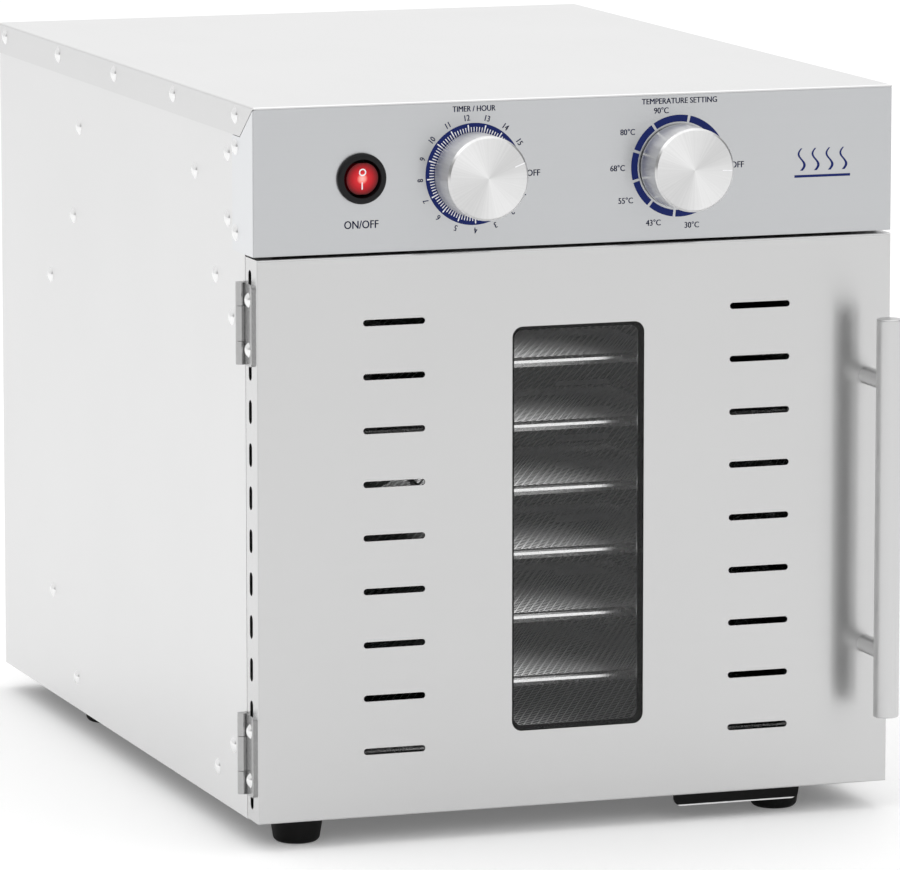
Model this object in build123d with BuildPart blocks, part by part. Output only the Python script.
from build123d import *
from math import cos, radians, sin
import os

# Food dehydrator with a folded steel casing, a hinged door with a window, eight mesh trays,
# a timer, a thermostat and a rear fan heater. Millimetres, +Z up, front towards -Y.
# All places below are in the casing's own frame: x from its centreline, y back from the
# fascia's face, z up from its underside. CASE puts that frame on the object's origin.

os.makedirs("parts", exist_ok=True)

# ---- driving dimensions: casing ----
CASE_WIDTH = 314.0
CASE_DEPTH = 432.0
CASE_HEIGHT = 332.0
FOOT_HEIGHT = 13.0
SHEET = 1.0
FOLD = 0.9                              # outside radius of a folded edge
SIDE_OUT = CASE_WIDTH / 2 - SHEET       # outer face of a side panel
SIDE_IN = SIDE_OUT - SHEET              # inner face of a side panel
FIT = 0.1                               # gap between sheets that lie on each other
COVER_UNDER = CASE_HEIGHT - SHEET
LIP_BOTTOM = 316.9                      # lower edge of the cover's side lips
MITRE_DEPTH = 19.3                      # the lip meets the fascia flange on a diagonal
MITRE_GAP = 0.3
FASCIA_BOTTOM = 263.5
FASCIA_FLANGE = 31.0
DOORWAY_Y = 15.2                        # front edge of the side panels beside the door
EDGE_FLANGE = 12.0                      # inward fold along the side panels' front and rear edges
BACK_Y = CASE_DEPTH - 2 * SHEET         # inner face of the back panel

# ---- driving dimensions: door ----
DOOR_FACE = -2.6
DOOR_BACK = 14.7
DOOR_BOTTOM = 0.4
DOOR_TOP = 262.3
DOOR_MID = (DOOR_BOTTOM + DOOR_TOP) / 2
DOOR_HALF = SIDE_OUT
SLOT_LENGTH = 30.0
SLOT_WIDTH = 3.0
SLOT_PITCH = 25.0
SLOT_COUNT = 9
SLOT_X = 90.1
SIDE_SLOT_LENGTH = 11.0
SIDE_SLOT_WIDTH = 4.5
SIDE_SLOT_PITCH = 20.0
SIDE_SLOT_COUNT = 13
SIDE_SLOT_Y = 8.0
WINDOW_WIDTH = 65.0
WINDOW_HEIGHT = 190.0
WINDOW_RADIUS = 5.0
GLASS_THICK = 3.0
STUD_X = 42.0
STUD_ROWS = (-90.0, 0.0, 90.0)

# ---- driving dimensions: handle ----
BAR_RADIUS = 6.0
BAR_LENGTH = 188.7
BAR_Y = -29.0
HANDLE_X = 144.6
POST_RADIUS = 4.2
POST_SPACING = 128.0
BAR_ROUND = 0.8
POST_SCREW = 8.0                        # screw length inside a post
POST_FIT = 0.02

# ---- driving dimensions: hinges ----
HINGE_HEIGHT = 38.0
HINGE_OFFSET = 100.3                    # hinge centres above and below the door's middle
KNUCKLE_RADIUS = 2.3
PIN_RADIUS = 1.1
PIN_PLAY = 0.05
LEAF_THICK = 1.2
DOOR_LEAF_WIDTH = 13.0
BODY_LEAF_END = 42.0
BODY_RIVET_Y = 36.0
HINGE_NOTCH = 3.0                       # depth of the cut in the side panel round a knuckle
DOOR_RIVET_Y = 7.6
DOOR_RIVET_SPACING = 23.0
MID_KNUCKLE = 16.0
KNUCKLE_GAP = 0.3
HINGE_X = -SIDE_OUT - KNUCKLE_RADIUS
HINGE_Y = DOORWAY_Y
HINGES = {"upper": DOOR_MID + HINGE_OFFSET, "lower": DOOR_MID - HINGE_OFFSET}

# ---- driving dimensions: trays and racks ----
TRAY_COUNT = 8
TRAY_PITCH = 30.2
TRAY_HALF = 140.0
TRAY_FRONT = 23.0
TRAY_REAR = 323.0
TRAY_THICK = 4.0
TRAY_RIM = 6.0
TRAY_CORNER = 4.0
TRAY_PLAY = 0.3
MESH_THICK = 1.2
MESH_DROP = 0.5                         # mesh top below the rim's top
MESH_PITCH_X = 22.0
MESH_PITCH_Y = 11.0
MESH_STRAND = 2.4
MESH_COUNT = 12
TRAY_TOPS = [DOOR_MID + 0.5 + TRAY_PITCH * ((TRAY_COUNT - 1) / 2 - i) for i in range(TRAY_COUNT)]
RUNNER_INNER = 132.0
RUNNER_THICK = 1.2
RUNNER_FRONT = 24.0
RUNNER_REAR = 326.0
GUIDE_X = 141.0
GUIDE_HEIGHT = 5.0
UPRIGHT_THICK = 2.0
UPRIGHT_WIDTH = 20.0
UPRIGHT_BOTTOM = 11.0
UPRIGHT_TOP = 257.0

# ---- driving dimensions: inner sheets ----
CEILING_Z = 264.7
CEILING_FLANGE = 38.0
BAFFLE_Y = 332.0
BAFFLE_FLANGE = 14.0

# ---- driving dimensions: rivets and screws, as (y, z) on the sides ----
RIVET_HEAD = 3.9
DOME_BULGE = 0.776                      # a rivet head's rise at half its radius, against its full rise
RIVET_SHANK = 1.9
RIVET_RISE = 1.5
HOLE_PLAY = 0.1
COVER_RIVET_Z = 326.0
COVER_RIVET_YS = [26.8 + 97.7 * i for i in range(5)]
CEILING_RIVETS = [(92.8, 293.4), (286.6, 293.4)]
RACK_RIVETS = [(61.0, 15.9), (61.0, 248.4), (298.0, 15.9), (298.0, 248.4)]
BAFFLE_RIVETS = [(340.0, 53.2), (340.0, 213.6)]
FLANGE_RIVETS = [(26.6, 271.9), (26.6, 311.5)]
FASCIA_SCREWS = [(41.7, 276.8), (41.7, 307.0)]

# ---- driving dimensions: controls ----
CONTROL_Z = 297.8
DIAL_X = 50.4
SWITCH_X = -105.0
SHAFT_RADIUS = 3.0
SHAFT_PLAY = 0.06
SHAFT_HOLE = 5.2
KNOB_RADIUS = 19.5
KNOB_FACE = -20.5
KNOB_BACK = -1.2
BEZEL_RADIUS = 11.75
BEZEL_RISE = 2.4
ROCKER_WELL = 9.0                       # radius of the round well in the switch
ROCKER_RADIUS = 7.6
ROCKER_REACH = 7.3
ROCKER_FACE = 1.6
ROCKER_LEAN = 0.9
ROCKER_PIVOT_Y = 2.0
ROCKER_TAIL = 7.5
SWITCH_BODY = 10.0
UNIT_Y = 9.0                            # front face of the timer and thermostat bodies
SHAFT_END = 19.0
KNOB_CHAMFER = 1.0
KNOB_RECESS = 5.0
KNOB_WALL = 3.0
KNOB_BOSS = 6.5
UNIT_CORNER = 4.0
TIMER_BODY = (25.0, 34.0)               # half width and depth
THERMOSTAT_BODY = (21.0, 30.0)
KNOB_SOCKET = 7.0                       # solid metal between a knob's face and its shaft

# ---- driving dimensions: fan heater ----
FAN_Z = 132.0
FAN_OPENING = 72.0
FAN_RADIUS = 62.0
FAN_FRONT = 349.0
FAN_BACK = 365.0
BLADE_COUNT = 5
HUB_RADIUS = 15.0
FAN_SHAFT = 3.0
BRACKET_Y = 372.0
BRACKET_THICK = 2.0
BRACKET_HALF = 105.0
MOTOR_RADIUS = 31.0
MOTOR_END = 412.0
HEATER_RADIUS = 82.0
HEATER_TUBE = 3.3
HEATER_Y = 352.0
GUARD_REACH = FAN_OPENING + 6

# ---- driving dimensions: feet, back and catch ----
FOOT_TOP = 12.7
FOOT_BASE = 10.6
FEET = {
    "front_left": (-130.6, 20.5),
    "front_right": (108.5, 22.0),
    "rear_left": (-131.6, 327.0),
    "rear_right": (131.6, 327.0),
}
GLAND_X = -112.0
GLAND_Z = 290.0
GLAND_BORE = 4.0
GLAND_RADIUS = 8.0
GLAND_NUT = 11.0
GLAND_REACH = 12.0
BACK_SCREW_X = 149.0
BACK_SCREW_ZS = (40.0, 165.0, 290.0)
STRIKE_X = 82.0
STRIKE_WIDTH = 63.0
STRIKE_DROP = 6.4
STRIKE_FRONT = 3.0
STRIKE_REAR = 9.0
STRIKE_SCREW_X = 22.0                   # screws either side of the plate's middle
STRIKE_SCREW_EDGE = 2.5
STRIKE_CORNER = 4.0

# ---- the object's origin: centre of its outer box, at the feet ----
BOX_LEFT = HINGE_X - KNUCKLE_RADIUS
BOX_RIGHT = CASE_WIDTH / 2 + RIVET_RISE
BOX_FRONT = BAR_Y - BAR_RADIUS
BOX_REAR = CASE_DEPTH - SHEET + GLAND_REACH
CASE = Plane(origin=(-(BOX_LEFT + BOX_RIGHT) / 2, -(BOX_FRONT + BOX_REAR) / 2, FOOT_HEIGHT))


def level(z):
    """Plane seen from above at height z: sketch x right, y to the back."""
    return CASE.offset(z)


def front(y, x=0.0, z=0.0):
    """Plane seen from the front at depth y: sketch x right, y up."""
    place = CASE.origin + Vector(x, y, z)
    return Plane(origin=place, x_dir=(1, 0, 0), z_dir=(0, -1, 0))


def side(x):
    """Plane seen from the right at x: sketch x to the back, y up."""
    place = CASE.origin + Vector(x, 0, 0)
    return Plane(origin=place, x_dir=(0, 1, 0), z_dir=(1, 0, 0))


def span(low, high):
    """Middle and length of a stretch."""
    return (low + high) / 2, high - low


def block(x, y, z, mode=Mode.ADD):
    """Rectangular bar in the open part, given as three (low, high) stretches."""
    (middle_x, width), (middle_y, depth) = span(*x), span(*y)
    with BuildSketch(level(z[0])) as base:
        with Locations((middle_x, middle_y)):
            Rectangle(width, depth)
    extrude(base.sketch, amount=z[1] - z[0], mode=mode)


def holes_in_side(x_low, x_high, points, radius):
    """Drill round holes along X through a sheet between x_low and x_high."""
    with BuildSketch(side(x_low)) as rounds:
        with Locations(*points):
            Circle(radius)
    extrude(rounds.sketch, amount=x_high - x_low, mode=Mode.SUBTRACT)


def holes_in_front(y_low, y_high, points, radius):
    """Drill round holes along Y through a sheet between y_low and y_high."""
    with BuildSketch(front(y_high)) as rounds:
        with Locations(*points):
            Circle(radius)
    extrude(rounds.sketch, amount=y_high - y_low, mode=Mode.SUBTRACT)


def side_rivets(face, direction, points, grip, head=RIVET_HEAD, rise=RIVET_RISE):
    """Domed rivets on an outer side face; direction is -1 on the left and +1 on the right."""
    for y, z in points:
        outward = Plane(origin=CASE.origin + Vector(face, y, z), x_dir=(0, 1, 0), z_dir=(direction, 0, 0))
        with BuildSketch(Plane(origin=outward.origin, x_dir=outward.z_dir, z_dir=(0, -1, 0))) as dome:
            with BuildLine():
                Polyline((0, head), (0, 0), (rise, 0))
                ThreePointArc((rise, 0), (DOME_BULGE * rise, head / 2), (0, head))
            make_face()
        revolve(dome.sketch, axis=Axis(outward.origin, outward.z_dir))
        with BuildSketch(outward) as shank:
            Circle(RIVET_SHANK)
        extrude(shank.sketch, amount=-grip)


def cylinder_y(x, z, y_low, y_high, radius, mode=Mode.ADD):
    """Round bar along Y in the open part."""
    with BuildSketch(front(y_high, x, z)) as round_end:
        Circle(radius)
    extrude(round_end.sketch, amount=y_high - y_low, mode=mode)


# ================= casing =================

with BuildPart() as top_cover:
    block((-CASE_WIDTH / 2, CASE_WIDTH / 2), (0, CASE_DEPTH), (COVER_UNDER, CASE_HEIGHT))
    for x in (-CASE_WIDTH / 2, SIDE_OUT):
        with BuildSketch(side(x)):
            with BuildLine():
                Polyline(
                    (MITRE_GAP, COVER_UNDER + SHEET / 2),
                    (MITRE_GAP, COVER_UNDER),
                    (MITRE_DEPTH + MITRE_GAP, LIP_BOTTOM),
                    (CASE_DEPTH, LIP_BOTTOM),
                    (CASE_DEPTH, COVER_UNDER + SHEET / 2),
                    close=True,
                )
            make_face()
        extrude(amount=SHEET)
    block((-SIDE_OUT, SIDE_OUT), (CASE_DEPTH - SHEET, CASE_DEPTH), (LIP_BOTTOM, COVER_UNDER))
    cover_edges = top_cover.edges().group_by(Axis.Z)[-1]
    fillet(cover_edges, FOLD)
    cover_holes = [(y, COVER_RIVET_Z) for y in COVER_RIVET_YS]
    holes_in_side(-CASE_WIDTH / 2, CASE_WIDTH / 2, cover_holes, RIVET_SHANK + HOLE_PLAY)
top_cover.part.label = "top_cover"
export_step(top_cover.part, "parts/top_cover.step")


def side_panel(direction):
    """Side panel with inward folds along its front and rear edges; direction is -1 or +1."""
    outer, inner = direction * SIDE_OUT, direction * SIDE_IN
    low, high = min(outer, inner), max(outer, inner)
    fold_tip = direction * (SIDE_IN - EDGE_FLANGE)
    fold = (min(inner, fold_tip), max(inner, fold_tip))
    with BuildPart() as panel:
        with BuildSketch(side(low)):
            with BuildLine():
                Polyline(
                    (DOORWAY_Y, 0),
                    (BACK_Y, 0),
                    (BACK_Y, COVER_UNDER - FIT),
                    (SHEET + FIT, COVER_UNDER - FIT),
                    (SHEET + FIT, FASCIA_BOTTOM),
                    (DOORWAY_Y, FASCIA_BOTTOM),
                    close=True,
                )
            make_face()
        extrude(amount=SHEET)
        block(fold, (DOORWAY_Y, DOORWAY_Y + SHEET), (0, FASCIA_BOTTOM))
        block(fold, (BACK_Y - SHEET, BACK_Y), (0, COVER_UNDER - FIT))
        fasteners = cover_holes + CEILING_RIVETS + RACK_RIVETS + BAFFLE_RIVETS + FLANGE_RIVETS + FASCIA_SCREWS
        if direction < 0:
            fasteners = fasteners + [(BODY_RIVET_Y, z) for z in HINGES.values()]
            for z in HINGES.values():
                notch = (z - HINGE_HEIGHT / 2 - FIT, z + HINGE_HEIGHT / 2 + FIT)
                block((outer, inner + SHEET), (DOORWAY_Y, DOORWAY_Y + HINGE_NOTCH), notch, Mode.SUBTRACT)
        holes_in_side(low, high, fasteners, RIVET_SHANK + HOLE_PLAY)
        rear_holes = [(direction * BACK_SCREW_X, z) for z in BACK_SCREW_ZS]
        holes_in_front(BACK_Y - SHEET, BACK_Y, rear_holes, RIVET_SHANK + HOLE_PLAY)
    return panel


left_side_panel = side_panel(-1)
left_side_panel.part.label = "left_side_panel"
export_step(left_side_panel.part, "parts/left_side_panel.step")

right_side_panel = side_panel(1)
right_side_panel.part.label = "right_side_panel"
export_step(right_side_panel.part, "parts/right_side_panel.step")

# Back panel: plate on the side panels' rear folds, with an air intake in front of the motor.
INTAKE_SLOT = 44.0
INTAKE_WIDTH = 3.6
INTAKE_ROWS = 12
INTAKE_PITCH = 9.0
INTAKE_COLUMNS = 3
INTAKE_SPACING = 52.0
with BuildPart() as back_panel:
    block((-SIDE_OUT, SIDE_OUT), (BACK_Y, BACK_Y + SHEET), (0, COVER_UNDER - FIT))
    with BuildSketch(front(BACK_Y + SHEET)):
        with Locations((0, FAN_Z)):
            with GridLocations(INTAKE_SPACING, INTAKE_PITCH, INTAKE_COLUMNS, INTAKE_ROWS):
                SlotOverall(INTAKE_SLOT, INTAKE_WIDTH)
    extrude(amount=SHEET, mode=Mode.SUBTRACT)
    back_holes = [(s * BACK_SCREW_X, z) for s in (-1, 1) for z in BACK_SCREW_ZS]
    holes_in_front(BACK_Y, BACK_Y + SHEET, back_holes, RIVET_SHANK + HOLE_PLAY)
    holes_in_front(BACK_Y, BACK_Y + SHEET, [(GLAND_X, GLAND_Z)], GLAND_RADIUS + HOLE_PLAY)
back_panel.part.label = "back_panel"
export_step(back_panel.part, "parts/back_panel.step")

# Floor panel: shallow tray shape with upturned edges.
FLOOR_FRONT = DOORWAY_Y + SHEET + FIT
FLOOR_REAR = BACK_Y - SHEET - FIT
FLOOR_HALF = SIDE_IN - FIT
FLOOR_LIP = 8.0                         # upturned front edge
FLOOR_SIDE = 10.0                       # upturned side edges
FLOOR_SIDE_RUN = (50.0, BAFFLE_Y - 5)
with BuildPart() as floor_panel:
    block((-FLOOR_HALF, FLOOR_HALF), (FLOOR_FRONT, FLOOR_REAR), (0, SHEET))
    lip_half = SIDE_IN - EDGE_FLANGE
    block((-lip_half, lip_half), (FLOOR_FRONT, FLOOR_FRONT + SHEET), (SHEET, FLOOR_LIP))
    for direction in (-1, 1):
        edge = sorted((direction * FLOOR_HALF, direction * (FLOOR_HALF - SHEET)))
        block(edge, FLOOR_SIDE_RUN, (SHEET, FLOOR_SIDE))
    with BuildSketch(level(0)):
        with Locations(*FEET.values()):
            Circle(RIVET_SHANK + HOLE_PLAY)
    extrude(amount=SHEET, mode=Mode.SUBTRACT)
floor_panel.part.label = "floor_panel"
export_step(floor_panel.part, "parts/floor_panel.step")

# Control fascia: face plate, side flanges lapped over the side panels, and a lower return.
with BuildPart() as control_fascia:
    block((-SIDE_OUT, SIDE_OUT), (0, SHEET), (FASCIA_BOTTOM, COVER_UNDER - FIT))
    for x in (-CASE_WIDTH / 2, SIDE_OUT):
        with BuildSketch(side(x)):
            with BuildLine():
                Polyline(
                    (0, FASCIA_BOTTOM),
                    (FASCIA_FLANGE, FASCIA_BOTTOM),
                    (FASCIA_FLANGE, LIP_BOTTOM - MITRE_GAP),
                    (MITRE_DEPTH, LIP_BOTTOM - MITRE_GAP),
                    (0, COVER_UNDER - MITRE_GAP),
                    close=True,
                )
            make_face()
        extrude(amount=SHEET)
    block((-FLOOR_HALF, FLOOR_HALF), (SHEET, DOORWAY_Y), (FASCIA_BOTTOM, FASCIA_BOTTOM + SHEET))
    fascia_corners = control_fascia.edges().filter_by(Axis.Z).group_by(Axis.Y)[0]
    fillet(fascia_corners, FOLD)
    holes_in_side(-CASE_WIDTH / 2, CASE_WIDTH / 2, FLANGE_RIVETS, RIVET_SHANK + HOLE_PLAY)
    holes_in_front(0, SHEET, [(-DIAL_X, CONTROL_Z), (DIAL_X, CONTROL_Z)], SHAFT_HOLE)
    holes_in_front(0, SHEET, [(SWITCH_X, CONTROL_Z)], SWITCH_BODY + FIT)
control_fascia.part.label = "control_fascia"
export_step(control_fascia.part, "parts/control_fascia.step")

# Chamber ceiling: plate below the control space, with upturned side flanges.
BULB_HOLE_Y = 118.0
BULB_HOLE = 4.0
CEILING_SIDE_RUN = (70.0, 310.0)
with BuildPart() as chamber_ceiling:
    block((-FLOOR_HALF, FLOOR_HALF), (FLOOR_FRONT, FLOOR_REAR), (CEILING_Z, CEILING_Z + SHEET))
    for direction in (-1, 1):
        edge = sorted((direction * FLOOR_HALF, direction * (FLOOR_HALF - SHEET)))
        block(edge, CEILING_SIDE_RUN, (CEILING_Z + SHEET, CEILING_Z + CEILING_FLANGE))
    holes_in_side(-SIDE_IN, SIDE_IN, CEILING_RIVETS, RIVET_SHANK + HOLE_PLAY)
    with BuildSketch(level(CEILING_Z)):
        with Locations((DIAL_X, BULB_HOLE_Y)):
            Circle(BULB_HOLE)
    extrude(amount=SHEET, mode=Mode.SUBTRACT)
chamber_ceiling.part.label = "chamber_ceiling"
export_step(chamber_ceiling.part, "parts/chamber_ceiling.step")

# Rear baffle: wall between the trays and the fan, open in front of the fan.
BAFFLE_SIDE_RUN = (30.0, 240.0)
VENT_X = 125.0
VENT_LENGTH = 30.0
VENT_PITCH = 14.0
VENT_ROWS = 13
with BuildPart() as rear_baffle:
    block((-FLOOR_HALF, FLOOR_HALF), (BAFFLE_Y, BAFFLE_Y + SHEET), (SHEET + FIT, CEILING_Z - FIT))
    for direction in (-1, 1):
        edge = sorted((direction * FLOOR_HALF, direction * (FLOOR_HALF - SHEET)))
        block(edge, (BAFFLE_Y + SHEET, BAFFLE_Y + SHEET + BAFFLE_FLANGE), BAFFLE_SIDE_RUN)
    holes_in_side(-SIDE_IN, SIDE_IN, BAFFLE_RIVETS, RIVET_SHANK + HOLE_PLAY)
    holes_in_front(BAFFLE_Y, BAFFLE_Y + SHEET, [(0, FAN_Z)], FAN_OPENING)
    # vents towards the corners let air back to the fan compartment
    with BuildSketch(front(BAFFLE_Y + SHEET)):
        with Locations((-VENT_X, FAN_Z), (VENT_X, FAN_Z)):
            with GridLocations(VENT_LENGTH, VENT_PITCH, 1, VENT_ROWS):
                SlotOverall(VENT_LENGTH, INTAKE_WIDTH)
    extrude(amount=SHEET, mode=Mode.SUBTRACT)
rear_baffle.part.label = "rear_baffle"
export_step(rear_baffle.part, "parts/rear_baffle.step")

# Tray racks: two uprights a side, with a runner and a guide lip under each tray edge.
for name, direction in (("left_tray_rack", -1), ("right_tray_rack", 1)):
    with BuildPart() as tray_rack:
        wall = sorted((direction * (SIDE_IN - FIT), direction * (SIDE_IN - FIT - UPRIGHT_THICK)))
        for rivet_y in (RACK_RIVETS[0][0], RACK_RIVETS[2][0]):
            upright = (rivet_y - UPRIGHT_WIDTH / 2, rivet_y + UPRIGHT_WIDTH / 2)
            block(wall, upright, (UPRIGHT_BOTTOM, UPRIGHT_TOP))
        shelf = sorted((direction * RUNNER_INNER, direction * (SIDE_IN - FIT - UPRIGHT_THICK)))
        guide = sorted((direction * GUIDE_X, direction * (GUIDE_X + RUNNER_THICK)))
        for tray_top in TRAY_TOPS:
            seat = tray_top - TRAY_THICK - TRAY_PLAY
            block(shelf, (RUNNER_FRONT, RUNNER_REAR), (seat - RUNNER_THICK, seat))
            block(guide, (RUNNER_FRONT, RUNNER_REAR), (seat, seat + GUIDE_HEIGHT))
        holes_in_side(wall[0], wall[1], RACK_RIVETS, RIVET_SHANK + HOLE_PLAY)
    tray_rack.part.label = name
    export_step(tray_rack.part, f"parts/{name}.step")

# ================= trays =================

# Each tray is a steel rim with a welded sheet of expanded mesh, which has diamond openings.
MESH_HALF_X = TRAY_HALF - TRAY_RIM / 2
MESH_MID_Y = (TRAY_FRONT + TRAY_REAR) / 2
MESH_HALF_Y = (TRAY_REAR - TRAY_FRONT) / 2 - TRAY_RIM / 2
OPEN_X = MESH_PITCH_X / 2 - MESH_STRAND
OPEN_Y = MESH_PITCH_Y - MESH_STRAND
DIAMOND = ((OPEN_X, 0), (0, OPEN_Y), (-OPEN_X, 0), (0, -OPEN_Y))
for i, tray_top in enumerate(TRAY_TOPS):
    with BuildPart() as tray:
        with BuildSketch(level(tray_top - TRAY_THICK)) as rim:
            with Locations((0, MESH_MID_Y)):
                Rectangle(2 * TRAY_HALF, TRAY_REAR - TRAY_FRONT)
            fillet(rim.vertices(), TRAY_CORNER)
            with Locations((0, MESH_MID_Y)):
                inner = (2 * (TRAY_HALF - TRAY_RIM), TRAY_REAR - TRAY_FRONT - 2 * TRAY_RIM)
                Rectangle(*inner, mode=Mode.SUBTRACT)
        extrude(amount=TRAY_THICK)
        with BuildSketch(level(tray_top - MESH_DROP - MESH_THICK)):
            with Locations((0, MESH_MID_Y)):
                Rectangle(2 * MESH_HALF_X, 2 * MESH_HALF_Y)
                with GridLocations(MESH_PITCH_X, 2 * MESH_PITCH_Y, MESH_COUNT, MESH_COUNT):
                    Polygon(*DIAMOND, align=None, mode=Mode.SUBTRACT)
        extrude(amount=MESH_THICK)
    tray.part.label = f"tray_{i + 1}"
    export_step(tray.part, f"parts/tray_{i + 1}.step")

# ================= casing fasteners, feet and back fittings =================

LEFT_FACE = -CASE_WIDTH / 2
RIGHT_FACE = CASE_WIDTH / 2
LAP_GRIP = 2 * SHEET
RACK_GRIP = SHEET + FIT + UPRIGHT_THICK
with BuildPart() as cover_rivets:
    for face, direction in ((LEFT_FACE, -1), (RIGHT_FACE, 1)):
        side_rivets(face, direction, cover_holes, LAP_GRIP)
cover_rivets.part.label = "cover_rivets"
export_step(cover_rivets.part, "parts/cover_rivets.step")

with BuildPart() as side_rivet_set:
    for face, direction in ((-SIDE_OUT, -1), (SIDE_OUT, 1)):
        side_rivets(face, direction, CEILING_RIVETS + BAFFLE_RIVETS, LAP_GRIP + FIT)
        side_rivets(face, direction, RACK_RIVETS, RACK_GRIP)
    side_rivets(-SIDE_OUT, -1, [(BODY_RIVET_Y, z) for z in HINGES.values()], SHEET + FIT + LEAF_THICK)
side_rivet_set.part.label = "side_rivets"
export_step(side_rivet_set.part, "parts/side_rivets.step")

with BuildPart() as fascia_fasteners:
    for face, direction in ((LEFT_FACE, -1), (RIGHT_FACE, 1)):
        side_rivets(face, direction, FLANGE_RIVETS, LAP_GRIP)
    for face, direction in ((-SIDE_OUT, -1), (SIDE_OUT, 1)):
        side_rivets(face, direction, FASCIA_SCREWS, 3 * SHEET)
fascia_fasteners.part.label = "fascia_fasteners"
export_step(fascia_fasteners.part, "parts/fascia_fasteners.step")

SCREW_HEAD = 3.4
SCREW_RISE = 1.6
SCREW_LENGTH = 6.0
NUT_THICK = 2.4
HEX = 6
with BuildPart() as back_screws:
    for x, z in back_holes:
        cylinder_y(x, z, BACK_Y + SHEET, BACK_Y + SHEET + SCREW_RISE, SCREW_HEAD)
        cylinder_y(x, z, BACK_Y - SCREW_LENGTH, BACK_Y + SHEET, RIVET_SHANK)
back_screws.part.label = "back_screws"
export_step(back_screws.part, "parts/back_screws.step")

# Rubber feet: tapered, with a rounded lower edge and a counterbore for the screw head.
FOOT_ROUND = 3.0
FOOT_BORE = 4.2
FOOT_WEB = 4.0
for place, (x, y) in FEET.items():
    with BuildPart() as foot:
        with BuildSketch(front(y, x, 0)) as half:
            with BuildLine():
                Polyline((0, 0), (FOOT_TOP, 0), (FOOT_BASE, -FOOT_HEIGHT), (0, -FOOT_HEIGHT), close=True)
            make_face()
            fillet(half.vertices().group_by(Axis.Y)[0].sort_by(Axis.X)[-1], FOOT_ROUND)
        revolve(axis=Axis(CASE.origin + Vector(x, y, 0), (0, 0, 1)))
        with BuildSketch(level(-FOOT_HEIGHT)):
            with Locations((x, y)):
                Circle(FOOT_BORE)
        extrude(amount=FOOT_HEIGHT - FOOT_WEB, mode=Mode.SUBTRACT)
        with BuildSketch(level(-FOOT_HEIGHT)):
            with Locations((x, y)):
                Circle(RIVET_SHANK + HOLE_PLAY)
        extrude(amount=FOOT_HEIGHT, mode=Mode.SUBTRACT)
    foot.part.label = f"foot_{place}"
    export_step(foot.part, f"parts/foot_{place}.step")

with BuildPart() as foot_screws:
    with BuildSketch(level(-FOOT_WEB - SCREW_RISE)):
        with Locations(*FEET.values()):
            Circle(SCREW_HEAD)
    extrude(amount=SCREW_RISE)
    with BuildSketch(level(-FOOT_WEB)):
        with Locations(*FEET.values()):
            Circle(RIVET_SHANK)
    extrude(amount=FOOT_WEB + SHEET)
    with BuildSketch(level(SHEET)):
        with Locations(*FEET.values()):
            RegularPolygon(SCREW_HEAD, HEX)
    extrude(amount=NUT_THICK)
foot_screws.part.label = "foot_screws"
export_step(foot_screws.part, "parts/foot_screws.step")

# Gland for the mains lead, high on the back, with its nut inside.
GLAND_COLLAR = 3.0
GLAND_TAIL = 9.0
GLAND_NUT_THICK = 4.0
GLAND_ROUND = 1.5
with BuildPart() as cord_gland:
    cylinder_y(GLAND_X, GLAND_Z, BACK_Y + SHEET, BACK_Y + SHEET + GLAND_COLLAR, GLAND_NUT)
    cylinder_y(GLAND_X, GLAND_Z, BACK_Y - GLAND_TAIL, BACK_Y + SHEET + GLAND_REACH, GLAND_RADIUS)
    with BuildSketch(front(BACK_Y, GLAND_X, GLAND_Z)):
        RegularPolygon(GLAND_NUT, HEX)
    extrude(amount=GLAND_NUT_THICK)
    gland_mouth = cord_gland.edges().filter_by(GeomType.CIRCLE).group_by(Axis.Y)[-1]
    fillet(gland_mouth, GLAND_ROUND)
    cylinder_y(GLAND_X, GLAND_Z, BACK_Y - GLAND_TAIL, BACK_Y + SHEET + GLAND_REACH, GLAND_BORE, Mode.SUBTRACT)
cord_gland.part.label = "cord_gland"
export_step(cord_gland.part, "parts/cord_gland.step")

# Magnetic catch under the floor: its nose reaches forward to the strike plate on the door.
CATCH_GAP = 0.4
CATCH_DROP = 5.6
CATCH_TOP = -1.2
CATCH_REAR = 32.0
CATCH_SPAN = (STRIKE_X - 22, STRIKE_X + 8)
with BuildPart() as door_catch:
    block(CATCH_SPAN, (STRIKE_FRONT + SHEET + CATCH_GAP, CATCH_REAR), (-CATCH_DROP, CATCH_TOP))
    fillet(door_catch.edges().filter_by(Axis.Z), 1)
    block(CATCH_SPAN, (FLOOR_FRONT, CATCH_REAR - 1), (CATCH_TOP, 0))
door_catch.part.label = "door_catch"
export_step(door_catch.part, "parts/door_catch.step")

# ================= door =================

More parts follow.
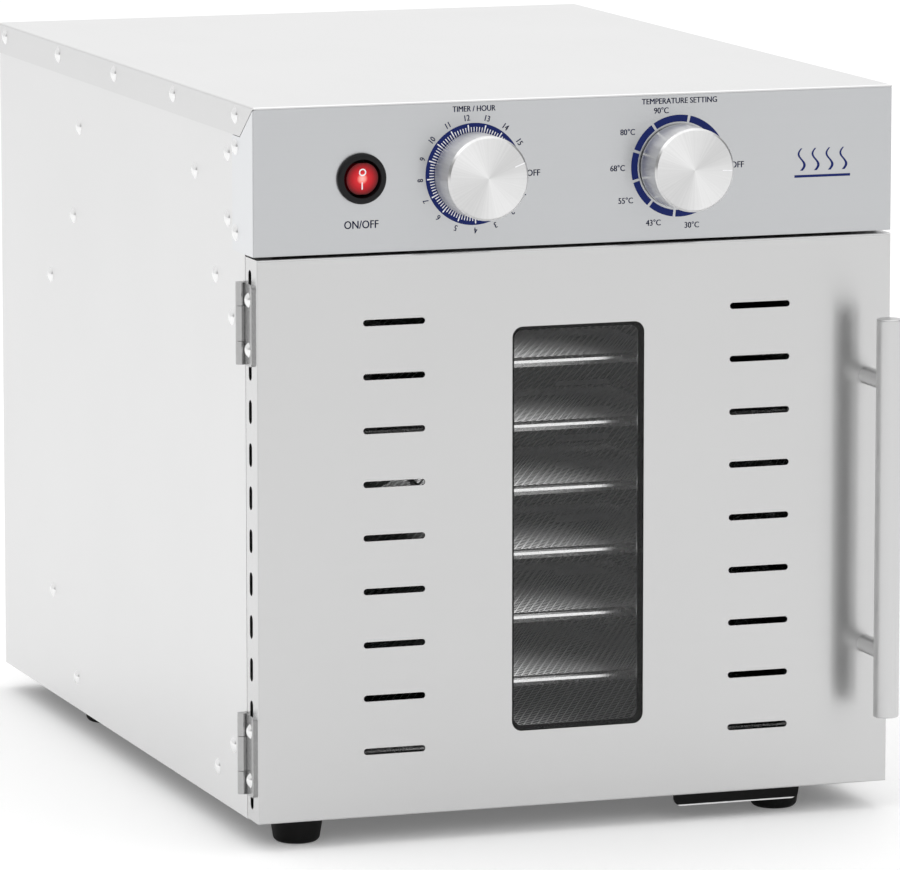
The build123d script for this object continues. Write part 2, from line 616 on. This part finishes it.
with BuildPart() as door_panel:
    block((-DOOR_HALF, DOOR_HALF), (DOOR_FACE, DOOR_BACK), (DOOR_BOTTOM, DOOR_TOP))
    front_edges = door_panel.edges().group_by(Axis.Y)[0]
    fillet(front_edges, FOLD)
    inside = DOOR_HALF - SHEET
    block(
        (-inside, inside),
        (DOOR_FACE + SHEET, DOOR_BACK),
        (DOOR_BOTTOM + SHEET, DOOR_TOP - SHEET),
        Mode.SUBTRACT,
    )
    for x in (-SLOT_X, SLOT_X):
        with BuildSketch(front(DOOR_FACE + SHEET)):
            with Locations((x, DOOR_MID)):
                with GridLocations(1, SLOT_PITCH, 1, SLOT_COUNT):
                    SlotOverall(SLOT_LENGTH, SLOT_WIDTH)
        extrude(amount=SHEET, mode=Mode.SUBTRACT)
    with BuildSketch(front(DOOR_FACE + SHEET)):
        with Locations((0, DOOR_MID)):
            RectangleRounded(WINDOW_WIDTH, WINDOW_HEIGHT, WINDOW_RADIUS)
    extrude(amount=SHEET, mode=Mode.SUBTRACT)
    with BuildSketch(side(-DOOR_HALF)):
        with Locations((SIDE_SLOT_Y, DOOR_MID)):
            with GridLocations(1, SIDE_SLOT_PITCH, 1, SIDE_SLOT_COUNT):
                SlotOverall(SIDE_SLOT_LENGTH, SIDE_SLOT_WIDTH, rotation=90)
    extrude(amount=2 * DOOR_HALF, mode=Mode.SUBTRACT)
    leaf_holes = [
        (DOOR_RIVET_Y, z + s * DOOR_RIVET_SPACING / 2) for z in HINGES.values() for s in (-1, 1)
    ]
    holes_in_side(-DOOR_HALF, -DOOR_HALF + SHEET, leaf_holes, RIVET_SHANK + HOLE_PLAY)
    post_places = [(HANDLE_X, DOOR_MID - POST_SPACING / 2), (HANDLE_X, DOOR_MID + POST_SPACING / 2)]
    holes_in_front(DOOR_FACE, DOOR_FACE + SHEET, post_places, RIVET_SHANK + HOLE_PLAY)
    strike_holes = [(STRIKE_X + s * STRIKE_SCREW_X, STRIKE_REAR - STRIKE_SCREW_EDGE) for s in (-1, 1)]
    with BuildSketch(level(DOOR_BOTTOM)):
        with Locations(*strike_holes):
            Circle(RIVET_SHANK + HOLE_PLAY)
    extrude(amount=SHEET, mode=Mode.SUBTRACT)
door_panel.part.label = "door_panel"
export_step(door_panel.part, "parts/door_panel.step")

GLASS_BACK = DOOR_FACE + SHEET + GLASS_THICK
GLASS_LAP = 4.5                         # glass beyond the window opening, all round
GLASS_CORNER = 3.0
GLASS_HALF_X = WINDOW_WIDTH / 2 + GLASS_LAP
GLASS_HALF_Z = WINDOW_HEIGHT / 2 + GLASS_LAP
with BuildPart() as window_glass:
    with BuildSketch(front(GLASS_BACK)):
        with Locations((0, DOOR_MID)):
            RectangleRounded(2 * GLASS_HALF_X, 2 * GLASS_HALF_Z, GLASS_CORNER)
    extrude(amount=GLASS_THICK)
window_glass.part.label = "window_glass"
export_step(window_glass.part, "parts/window_glass.step")

RETAINER_HALF_X = STUD_X + 5
RETAINER_HALF_Z = GLASS_HALF_Z + 4
RETAINER_CORNER = 4.0
RETAINER_INSET = 4.0                    # its opening is this much smaller than the window
studs = [(s * STUD_X, DOOR_MID + dz) for s in (-1, 1) for dz in STUD_ROWS]
with BuildPart() as window_retainer:
    with BuildSketch(front(GLASS_BACK + SHEET)):
        with Locations((0, DOOR_MID)):
            RectangleRounded(2 * RETAINER_HALF_X, 2 * RETAINER_HALF_Z, RETAINER_CORNER)
            opening = (WINDOW_WIDTH - RETAINER_INSET, WINDOW_HEIGHT - RETAINER_INSET)
            RectangleRounded(*opening, RETAINER_CORNER, mode=Mode.SUBTRACT)
    extrude(amount=SHEET)
    holes_in_front(GLASS_BACK, GLASS_BACK + SHEET, studs, RIVET_SHANK + HOLE_PLAY)
window_retainer.part.label = "window_retainer"
export_step(window_retainer.part, "parts/window_retainer.step")

STUD_RADIUS = RIVET_SHANK - 0.4
with BuildPart() as window_nuts:
    for x, z in studs:
        cylinder_y(x, z, DOOR_FACE + SHEET, GLASS_BACK + SHEET + NUT_THICK + SHEET, STUD_RADIUS)
        with BuildSketch(front(GLASS_BACK + SHEET + NUT_THICK, x, z)):
            RegularPolygon(SCREW_HEAD, HEX)
        extrude(amount=NUT_THICK)
window_nuts.part.label = "window_nuts"
export_step(window_nuts.part, "parts/window_nuts.step")

# T-bar handle: bar with rounded ends, two posts turned to seat on it, screws from inside.
with BuildPart() as handle_bar:
    with BuildSketch(level(DOOR_MID - BAR_LENGTH / 2)):
        with Locations((HANDLE_X, BAR_Y)):
            Circle(BAR_RADIUS)
    extrude(amount=BAR_LENGTH)
    fillet(handle_bar.edges().filter_by(GeomType.CIRCLE), BAR_ROUND)
handle_bar.part.label = "handle_bar"
export_step(handle_bar.part, "parts/handle_bar.step")

with BuildPart() as handle_posts:
    for x, z in post_places:
        cylinder_y(x, z, BAR_Y, DOOR_FACE, POST_RADIUS)
    with BuildSketch(level(DOOR_MID - BAR_LENGTH / 2)):
        with Locations((HANDLE_X, BAR_Y)):
            Circle(BAR_RADIUS + POST_FIT)
    extrude(amount=BAR_LENGTH, mode=Mode.SUBTRACT)
    for x, z in post_places:
        cylinder_y(x, z, DOOR_FACE - POST_SCREW - 1, DOOR_FACE, RIVET_SHANK, Mode.SUBTRACT)
handle_posts.part.label = "handle_posts"
export_step(handle_posts.part, "parts/handle_posts.step")

with BuildPart() as handle_screws:
    for x, z in post_places:
        cylinder_y(x, z, DOOR_FACE + SHEET, DOOR_FACE + SHEET + SCREW_RISE, SCREW_HEAD)
        cylinder_y(x, z, DOOR_FACE - POST_SCREW, DOOR_FACE + SHEET, RIVET_SHANK - PIN_PLAY)
handle_screws.part.label = "handle_screws"
export_step(handle_screws.part, "parts/handle_screws.step")

# Strike plate: angle under the door's lower return, facing the magnetic catch.
with BuildPart() as strike_plate:
    wide = (STRIKE_X - STRIKE_WIDTH / 2, STRIKE_X + STRIKE_WIDTH / 2)
    block(wide, (STRIKE_FRONT, STRIKE_REAR), (DOOR_BOTTOM - SHEET, DOOR_BOTTOM))
    with BuildSketch(front(STRIKE_FRONT + SHEET)) as tongue:
        with Locations((STRIKE_X, DOOR_BOTTOM - STRIKE_DROP / 2)):
            Rectangle(STRIKE_WIDTH, STRIKE_DROP)
        fillet(tongue.vertices().group_by(Axis.Y)[0], STRIKE_CORNER)
    extrude(amount=SHEET)
    with BuildSketch(level(DOOR_BOTTOM - SHEET)):
        with Locations(*strike_holes):
            Circle(RIVET_SHANK + HOLE_PLAY)
    extrude(amount=SHEET, mode=Mode.SUBTRACT)
strike_plate.part.label = "strike_plate"
export_step(strike_plate.part, "parts/strike_plate.step")

with BuildPart() as door_rivets:
    side_rivets(-DOOR_HALF - LEAF_THICK, -1, leaf_holes, LEAF_THICK + SHEET, RIVET_HEAD - 0.3)
    with BuildSketch(level(DOOR_BOTTOM - SHEET)):
        with Locations(*strike_holes):
            Circle(RIVET_SHANK)
    extrude(amount=2 * SHEET)
    with BuildSketch(level(DOOR_BOTTOM + SHEET)):
        with Locations(*strike_holes):
            Circle(SCREW_HEAD)
    extrude(amount=1.2)
door_rivets.part.label = "door_rivets"
export_step(door_rivets.part, "parts/door_rivets.step")

# ================= hinges =================


def knuckle(z_low, z_high):
    """One rolled knuckle of the hinge, bored for its pin, in the open part."""
    with BuildSketch(level(z_low)) as roll:
        with Locations((HINGE_X, HINGE_Y)):
            Circle(KNUCKLE_RADIUS)
    extrude(roll.sketch, amount=z_high - z_low)


def pin_bore(z_low, z_high):
    """Bore for the hinge pin through the open part."""
    with BuildSketch(level(z_low)) as bore:
        with Locations((HINGE_X, HINGE_Y)):
            Circle(PIN_RADIUS + PIN_PLAY)
    extrude(bore.sketch, amount=z_high - z_low, mode=Mode.SUBTRACT)


for name, z in HINGES.items():
    ends = (z - HINGE_HEIGHT / 2, z + HINGE_HEIGHT / 2)
    middle = (z - MID_KNUCKLE / 2, z + MID_KNUCKLE / 2)
    rivet_rows = [(DOOR_RIVET_Y, z + s * DOOR_RIVET_SPACING / 2) for s in (-1, 1)]

    with BuildPart() as door_leaf:
        leaf_x = (-DOOR_HALF - LEAF_THICK, -DOOR_HALF)
        leaf_front = DOORWAY_Y - DOOR_LEAF_WIDTH
        leaf_rear = HINGE_Y - KNUCKLE_RADIUS - 0.2
        block(leaf_x, (leaf_front, leaf_rear), ends)
        fillet(door_leaf.edges().filter_by(Axis.X).group_by(Axis.Y)[0], 2)
        block(leaf_x, (leaf_rear - 0.5, HINGE_Y), middle)
        knuckle(*middle)
        pin_bore(*middle)
        holes_in_side(leaf_x[0], leaf_x[1], rivet_rows, RIVET_SHANK + HOLE_PLAY)
    door_leaf.part.label = f"{name}_hinge_door_leaf"
    export_step(door_leaf.part, f"parts/{name}_hinge_door_leaf.step")

    with BuildPart() as body_leaf:
        leaf_x = (-SIDE_IN + FIT, -SIDE_IN + FIT + LEAF_THICK)
        web_y = (HINGE_Y + KNUCKLE_RADIUS - LEAF_THICK, HINGE_Y + KNUCKLE_RADIUS)
        block(leaf_x, (web_y[0], BODY_LEAF_END), ends)
        for stretch in ((ends[0], middle[0] - KNUCKLE_GAP), (middle[1] + KNUCKLE_GAP, ends[1])):
            block((HINGE_X, leaf_x[1]), web_y, stretch)
            knuckle(*stretch)
        pin_bore(*ends)
        holes_in_side(leaf_x[0], leaf_x[1], [(BODY_RIVET_Y, z)], RIVET_SHANK + HOLE_PLAY)
    body_leaf.part.label = f"{name}_hinge_body_leaf"
    export_step(body_leaf.part, f"parts/{name}_hinge_body_leaf.step")

    with BuildPart() as hinge_pin:
        with BuildSketch(level(ends[0])):
            with Locations((HINGE_X, HINGE_Y)):
                Circle(PIN_RADIUS)
        extrude(amount=HINGE_HEIGHT)
    hinge_pin.part.label = f"{name}_hinge_pin"
    export_step(hinge_pin.part, f"parts/{name}_hinge_pin.step")

# ================= controls =================

# Switch housing: round bezel and barrel, with a well for the rocker.
BARREL_DEPTH = 22.0
WELL_DEPTH = 14.0
BEZEL_ROUND = 1.4
TAB_X = 4.0
TAB_SIZE = (0.8, 4.8, 6.0)
with BuildPart() as switch_housing:
    cylinder_y(SWITCH_X, CONTROL_Z, -BEZEL_RISE, 0, BEZEL_RADIUS)
    bezel_edge = switch_housing.edges().filter_by(GeomType.CIRCLE).group_by(Axis.Y)[0]
    fillet(bezel_edge, BEZEL_ROUND)
    cylinder_y(SWITCH_X, CONTROL_Z, 0, BARREL_DEPTH, SWITCH_BODY)
    with BuildSketch(front(WELL_DEPTH, SWITCH_X, CONTROL_Z)):
        Circle(ROCKER_WELL)
    extrude(amount=WELL_DEPTH + BEZEL_RISE, mode=Mode.SUBTRACT)
    for s in (-1, 1):
        with BuildSketch(front(BARREL_DEPTH + TAB_SIZE[2], SWITCH_X + s * TAB_X, CONTROL_Z)):
            Rectangle(TAB_SIZE[0], TAB_SIZE[1])
        extrude(amount=TAB_SIZE[2])
switch_housing.part.label = "switch_housing"
export_step(switch_housing.part, "parts/switch_housing.step")

# Rocker: round lens cap, tilted with its lower half pressed in; its pivot lies behind its face.
with BuildPart() as power_rocker:
    with BuildSketch(side(SWITCH_X - ROCKER_RADIUS)):
        with Locations((0, CONTROL_Z)):
            Polygon(
                (-ROCKER_FACE - ROCKER_LEAN, ROCKER_REACH),
                (-ROCKER_FACE + ROCKER_LEAN, -ROCKER_REACH),
                (ROCKER_PIVOT_Y + 2.5, -ROCKER_REACH + 0.9),
                (ROCKER_TAIL, -ROCKER_REACH / 2),
                (ROCKER_TAIL, ROCKER_REACH / 2),
                (ROCKER_PIVOT_Y + 1.6, ROCKER_REACH - 0.7),
                align=None,
            )
    extrude(amount=2 * ROCKER_RADIUS)
    with BuildSketch(front(ROCKER_TAIL, SWITCH_X, CONTROL_Z)):
        Circle(ROCKER_RADIUS)
    extrude(amount=ROCKER_TAIL + 2 * ROCKER_FACE + 2 * ROCKER_LEAN, mode=Mode.INTERSECT)
power_rocker.part.label = "power_rocker"
export_step(power_rocker.part, "parts/power_rocker.step")


def shaft(x):
    """Control shaft running from its unit into the knob."""
    with BuildPart() as spindle:
        cylinder_y(x, CONTROL_Z, KNOB_FACE + KNOB_SOCKET, SHAFT_END, SHAFT_RADIUS)
    return spindle


def knob(x):
    """Turned knob with a chamfered face edge, a shallow rear recess and a shaft bore."""
    with BuildPart() as turned:
        cylinder_y(x, CONTROL_Z, KNOB_FACE, KNOB_BACK, KNOB_RADIUS)
        face_edge = turned.edges().filter_by(GeomType.CIRCLE).group_by(Axis.Y)[0]
        chamfer(face_edge, KNOB_CHAMFER)
        cylinder_y(x, CONTROL_Z, KNOB_BACK - KNOB_RECESS, KNOB_BACK, KNOB_RADIUS - KNOB_WALL, Mode.SUBTRACT)
        cylinder_y(x, CONTROL_Z, KNOB_BACK - KNOB_RECESS, KNOB_BACK - 0.2, KNOB_BOSS)
        cylinder_y(x, CONTROL_Z, KNOB_FACE + KNOB_SOCKET, KNOB_BACK, SHAFT_RADIUS, Mode.SUBTRACT)
    return turned


def control_unit(x, body_half, body_depth):
    """Body behind the fascia with a threaded bush in front, bored for its shaft."""
    with BuildPart() as unit:
        with BuildSketch(front(UNIT_Y + body_depth, x, CONTROL_Z)) as body:
            RectangleRounded(2 * body_half, 2 * body_half, UNIT_CORNER)
        extrude(body.sketch, amount=body_depth)
        cylinder_y(x, CONTROL_Z, FIT, UNIT_Y, SHAFT_HOLE - 0.3)
        cylinder_y(x, CONTROL_Z, 0, SHAFT_END + 0.3, SHAFT_RADIUS + SHAFT_PLAY, Mode.SUBTRACT)
    return unit


timer_unit = control_unit(-DIAL_X, *TIMER_BODY)
timer_unit.part.label = "timer_unit"
export_step(timer_unit.part, "parts/timer_unit.step")

thermostat_unit = control_unit(DIAL_X, *THERMOSTAT_BODY)
thermostat_unit.part.label = "thermostat_unit"
export_step(thermostat_unit.part, "parts/thermostat_unit.step")

timer_shaft = shaft(-DIAL_X)
timer_shaft.part.label = "timer_shaft"
export_step(timer_shaft.part, "parts/timer_shaft.step")

thermostat_shaft = shaft(DIAL_X)
thermostat_shaft.part.label = "thermostat_shaft"
export_step(thermostat_shaft.part, "parts/thermostat_shaft.step")

timer_knob = knob(-DIAL_X)
timer_knob.part.label = "timer_knob"
export_step(timer_knob.part, "parts/timer_knob.step")

temperature_knob = knob(DIAL_X)
temperature_knob.part.label = "temperature_knob"
export_step(temperature_knob.part, "parts/temperature_knob.step")

# Thermostat bulb below the ceiling, with its capillary from the unit.
CAPILLARY = 1.0
BULB_RADIUS = 3.0
BULB_Z = CEILING_Z - 8
BULB_RUN = (BULB_HOLE_Y + 18, BULB_HOLE_Y + 100)
CAPILLARY_BEND = 7.0
with BuildPart() as thermostat_bulb:
    start = (DIAL_X, UNIT_Y + THERMOSTAT_BODY[1], CONTROL_Z)
    with BuildLine(CASE) as route:
        FilletPolyline(
            start,
            (DIAL_X, BULB_HOLE_Y, CONTROL_Z),
            (DIAL_X, BULB_HOLE_Y, BULB_Z),
            (DIAL_X, BULB_HOLE_Y + 20, BULB_Z),
            radius=CAPILLARY_BEND,
        )
    with BuildSketch(front(start[1], DIAL_X, CONTROL_Z)):
        Circle(CAPILLARY)
    sweep(path=route.line)
    cylinder_y(DIAL_X, BULB_Z, *BULB_RUN, BULB_RADIUS)
thermostat_bulb.part.label = "thermostat_bulb"
export_step(thermostat_bulb.part, "parts/thermostat_bulb.step")

# ================= fan heater =================

with BuildPart() as motor_bracket:
    block((-BRACKET_HALF, BRACKET_HALF), (BRACKET_Y, BRACKET_Y + BRACKET_THICK), (FAN_Z - 26, FAN_Z + 26))
    for direction in (-1, 1):
        leg = sorted((direction * BRACKET_HALF, direction * (BRACKET_HALF - BRACKET_THICK)))
        tab = sorted((direction * BRACKET_HALF, direction * (BRACKET_HALF - 14)))
        block(leg, (BAFFLE_Y + SHEET, BRACKET_Y), (FAN_Z - 12, FAN_Z + 12))
        block(tab, (BAFFLE_Y + SHEET, BAFFLE_Y + SHEET + BRACKET_THICK), (FAN_Z - 12, FAN_Z + 12))
    holes_in_front(BRACKET_Y, BRACKET_Y + BRACKET_THICK, [(0, FAN_Z)], FAN_SHAFT + 4)
motor_bracket.part.label = "motor_bracket"
export_step(motor_bracket.part, "parts/motor_bracket.step")

with BuildPart() as fan_motor:
    cylinder_y(0, FAN_Z, BRACKET_Y + BRACKET_THICK, MOTOR_END, MOTOR_RADIUS)
    fillet(fan_motor.edges().filter_by(GeomType.CIRCLE), 2)
    cylinder_y(0, FAN_Z, BRACKET_Y, BRACKET_Y + BRACKET_THICK + 3, FAN_SHAFT + 3.8)
    cylinder_y(0, FAN_Z, BRACKET_Y, MOTOR_END - 6, FAN_SHAFT + SHAFT_PLAY, Mode.SUBTRACT)
fan_motor.part.label = "fan_motor"
export_step(fan_motor.part, "parts/fan_motor.step")

with BuildPart() as fan_shaft:
    cylinder_y(0, FAN_Z, FAN_FRONT - 4, MOTOR_END - 8, FAN_SHAFT)
fan_shaft.part.label = "fan_shaft"
export_step(fan_shaft.part, "parts/fan_shaft.step")

# Pressed fan wheel: hub with pitched blades.
BLADE_PITCH = 28.0
BLADE_THICK = 1.6
BLADE_CHORD = 24.0
BLADE_ROOT = HUB_RADIUS - 3
FAN_CENTRE = CASE.origin + Vector(0, (FAN_FRONT + FAN_BACK) / 2, FAN_Z)
with BuildPart() as fan_blade:
    cylinder_y(0, FAN_Z, FAN_FRONT, FAN_BACK, HUB_RADIUS)
    for i in range(BLADE_COUNT):
        turn = radians(i * 360 / BLADE_COUNT)
        radial = Vector(cos(turn), 0, sin(turn))
        tangent = Vector(-sin(turn), 0, cos(turn))
        chord = tangent * cos(radians(BLADE_PITCH)) + Vector(0, sin(radians(BLADE_PITCH)), 0)
        root = FAN_CENTRE + radial * BLADE_ROOT
        with BuildSketch(Plane(origin=root, x_dir=chord, z_dir=radial)):
            Rectangle(BLADE_CHORD, BLADE_THICK)
        extrude(amount=FAN_RADIUS - BLADE_ROOT)
    cylinder_y(0, FAN_Z, FAN_FRONT - 4, FAN_BACK + 4, FAN_SHAFT, Mode.SUBTRACT)
fan_blade.part.label = "fan_blade"
export_step(fan_blade.part, "parts/fan_blade.step")

# Wire guard on the chamber side of the baffle: rings on two crossed strips.
WIRE = 1.2
GUARD_RINGS = (18, 36, 54, 72)
fan_axis = Axis(CASE.origin + Vector(0, 0, FAN_Z), (0, 1, 0))
with BuildPart() as fan_guard:
    for ring in GUARD_RINGS:
        with BuildSketch(side(0)):
            with Locations((BAFFLE_Y - WIRE, FAN_Z + ring)):
                Circle(WIRE)
        revolve(axis=fan_axis)
    for turn in (radians(45), radians(135)):
        along = Vector(cos(turn), 0, sin(turn))
        middle = CASE.origin + Vector(0, BAFFLE_Y, FAN_Z)
        with BuildSketch(Plane(origin=middle, x_dir=along, z_dir=(0, -1, 0))):
            Rectangle(2 * GUARD_REACH, 2 * WIRE)
        extrude(amount=2 * WIRE)
fan_guard.part.label = "fan_guard"
export_step(fan_guard.part, "parts/fan_guard.step")

# Heating element: tube bent into an open ring around the fan, with two tails to the back.
HEATER_GAP = radians(15)
HEATER_ARC = 330.0
TAIL_LENGTH = 28.0
tail_x = HEATER_RADIUS * sin(HEATER_GAP)
tail_z = FAN_Z + HEATER_RADIUS * cos(HEATER_GAP)
with BuildPart() as heating_element:
    end_face = Plane(
        origin=CASE.origin + Vector(0, HEATER_Y, FAN_Z),
        x_dir=(0, 1, 0),
        z_dir=(cos(HEATER_GAP), 0, -sin(HEATER_GAP)),
    )
    with BuildSketch(end_face):
        with Locations((0, HEATER_RADIUS)):
            Circle(HEATER_TUBE)
    revolve(axis=fan_axis, revolution_arc=HEATER_ARC)
    for x in (-tail_x, tail_x):
        cylinder_y(x, tail_z, HEATER_Y, HEATER_Y + TAIL_LENGTH, HEATER_TUBE)
        cylinder_y(x, tail_z, HEATER_Y + TAIL_LENGTH, HEATER_Y + TAIL_LENGTH + 8, HEATER_TUBE / 3)
        with Locations(CASE.origin + Vector(x, HEATER_Y, tail_z)):
            Sphere(HEATER_TUBE)
heating_element.part.label = "heating_element"
export_step(heating_element.part, "parts/heating_element.step")

# Terminal block on the ceiling, near the gland.
with BuildPart() as terminal_block:
    block((-135, -87), (372, 392), (CEILING_Z + SHEET, CEILING_Z + SHEET + 16))
    with BuildSketch(level(CEILING_Z + SHEET + 16)):
        with Locations((-111, 382)):
            with GridLocations(12, 10, 4, 2):
                Circle(2.4)
    extrude(amount=-8, mode=Mode.SUBTRACT)
terminal_block.part.label = "terminal_block"
export_step(terminal_block.part, "parts/terminal_block.step")
